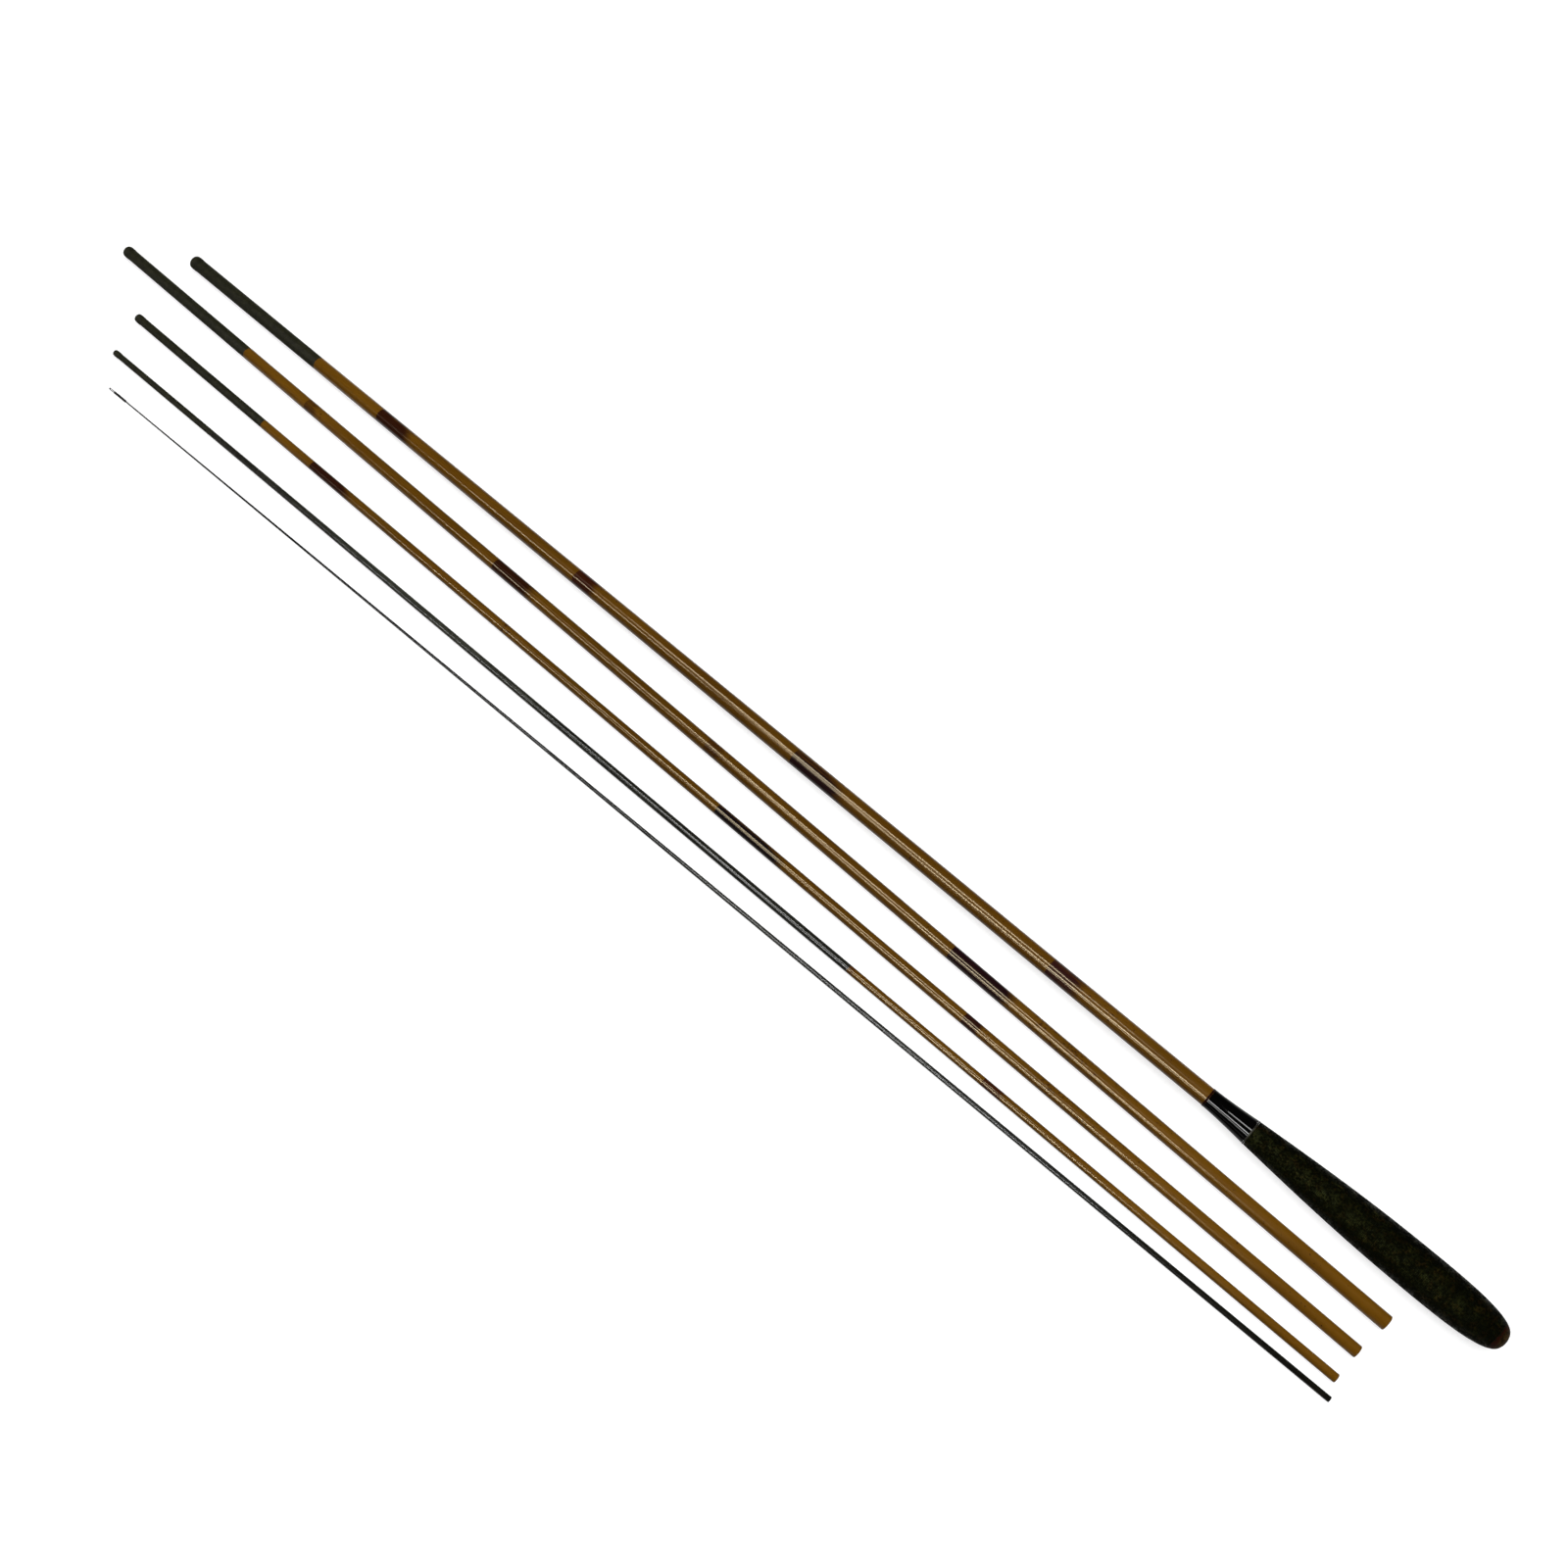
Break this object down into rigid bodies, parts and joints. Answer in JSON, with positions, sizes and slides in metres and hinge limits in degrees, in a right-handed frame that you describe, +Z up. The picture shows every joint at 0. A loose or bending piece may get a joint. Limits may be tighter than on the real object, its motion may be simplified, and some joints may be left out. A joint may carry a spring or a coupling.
{
  "type": "herabuna rod",
  "caption": "Take-down pole for crucian carp, its push-fit sections laid side by side: amber lacquered tubes with dark wound mouths, a slim tip with a line loop, and a textured grip.",
  "frame": {"origin": "on the surface that the set lies on, under the middle of its footprint", "axes": "+X from the butt towards the tip along the butt section, +Y from the butt section towards the slimmer sections beside it, +Z up"},
  "size_m": [1.2326, 0.1364, 0.0264],
  "materials": {
    "amber_lacquer": "clear amber lacquer over a carbon tube, with painted bamboo joints",
    "dark_lacquer": "dark olive lacquer over a carbon tube",
    "mouth_thread": "fine thread winding under satin lacquer",
    "carbon_tube": "bare carbon, out of sight but for its rim in each mouth",
    "gloss_black": "deep black lacquer over a winding",
    "red_thread": "dark red thread under lacquer",
    "pale_ring": "thin satin ring",
    "grip_cloth": "textured dark olive skin with lighter flecks",
    "grip_foam": "light core, out of sight",
    "cap_lacquer": "reddish brown, satin",
    "dark_cord": "dark grey twisted cord"
  },
  "bodies": {
    "butt_section": {"butt_blank": "amber_lacquer", "butt_mouth_sleeve": "carbon_tube", "butt_mouth_winding": "mouth_thread", "butt_mouth_bead": "mouth_thread", "butt_cap": "cap_lacquer", "grip_cover": "grip_cloth", "grip_core": "grip_foam", "grip_ring": "pale_ring", "grip_collar": "gloss_black", "collar_band": "red_thread"},
    "second_section": {"second_blank": "amber_lacquer", "second_mouth_sleeve": "carbon_tube", "second_mouth_winding": "mouth_thread", "second_mouth_bead": "mouth_thread"},
    "third_section": {"third_blank": "amber_lacquer", "third_mouth_sleeve": "carbon_tube", "third_mouth_winding": "mouth_thread", "third_mouth_bead": "mouth_thread"},
    "fourth_section": {"fourth_blank": "dark_lacquer", "fourth_mouth_sleeve": "carbon_tube", "fourth_mouth_winding": "mouth_thread", "fourth_mouth_bead": "mouth_thread"},
    "tip_section": {"tip_blank": "dark_lacquer", "solid_tip": "dark_lacquer", "tip_whipping": "mouth_thread", "line_loop": "dark_cord"}
  },
  "joints": [
    {"name": "second_section_slide", "type": "slide", "parent": "butt_section", "child": "second_section", "axis": [1, 0, 0], "range_m": [0, 1.053]},
    {"name": "third_section_slide", "type": "slide", "parent": "second_section", "child": "third_section", "axis": [1, -0.0021, 0], "range_m": [0, 1.11]},
    {"name": "fourth_section_slide", "type": "slide", "parent": "third_section", "child": "fourth_section", "axis": [1, 0.0094, 0], "range_m": [0, 1.054]},
    {"name": "tip_section_slide", "type": "slide", "parent": "fourth_section", "child": "tip_section", "axis": [0.9998, 0.0223, 0], "range_m": [0, 1.056]}
  ]
}
